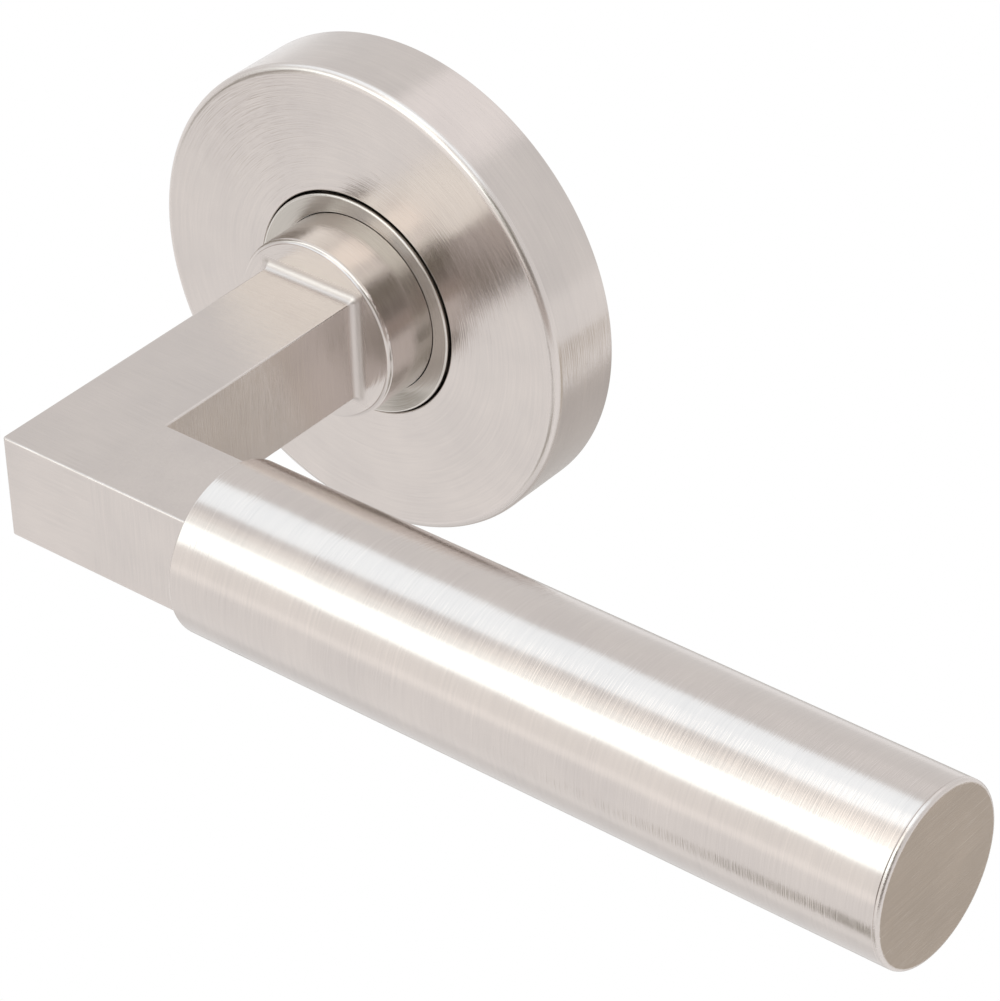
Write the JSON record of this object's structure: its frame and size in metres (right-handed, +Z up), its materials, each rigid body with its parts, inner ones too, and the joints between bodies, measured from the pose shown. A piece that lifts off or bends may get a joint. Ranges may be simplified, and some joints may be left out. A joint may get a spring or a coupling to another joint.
{
  "type": "door lever handle",
  "caption": "Sprung door lever handle: a round grip on a right-angled square bar, turning in a round screw-fixed rose with a slide-on cover and a square spindle.",
  "frame": {"origin": "centre of the rose's back, where the spindle's axis crosses the face of the door", "axes": "+X along the lever, from the spindle's axis to the grip's free end; +Y into the door; +Z up"},
  "size_m": [0.1545, 0.0913, 0.065],
  "materials": {
    "cover_steel": "satin brushed stainless steel, concentric grain",
    "lever_steel": "satin brushed stainless steel",
    "grip_steel": "satin brushed stainless steel, grain round the bar",
    "plated_steel": "dull zinc plate",
    "spring_steel": "oiled spring steel",
    "screw_steel": "bright zinc plate",
    "black_steel": "black oxide",
    "nylon": "natural nylon",
    "ring_rubber": "black nitrile rubber"
  },
  "bodies": {
    "rose_base": {"base_plate": "plated_steel", "mounting_posts": "plated_steel", "cover_o_ring": "ring_rubber", "collar_ring": "cover_steel", "spring_housing": "plated_steel", "housing_screws": "screw_steel", "stop_pins": "screw_steel", "return_spring": "spring_steel", "thrust_washer": "nylon", "bearing_bush": "nylon"},
    "lever": {"lever_arm": "lever_steel", "grip_plug": "lever_steel", "grip_tube": "grip_steel", "grip_end_cap": "grip_steel", "spring_driver": "plated_steel", "wave_washer": "spring_steel", "circlip": "spring_steel", "spindle": "plated_steel", "spindle_grub_screw": "black_steel"},
    "rose_cover": {"rose_cover": "cover_steel"}
  },
  "joints": [
    {"name": "lever_turn", "type": "hinge", "parent": "rose_base", "child": "lever", "pos_m": [0, 0, 0], "axis": [0, 1, 0], "range_deg": [-45, 45], "stiffness_Nm_per_rad": 1.2, "springref_deg": -3.23, "deforming": ["return_spring"]},
    {"name": "rose_cover_slide", "type": "slide", "parent": "rose_base", "child": "rose_cover", "axis": [0, -1, 0], "range_m": [0, 0.036]}
  ]
}
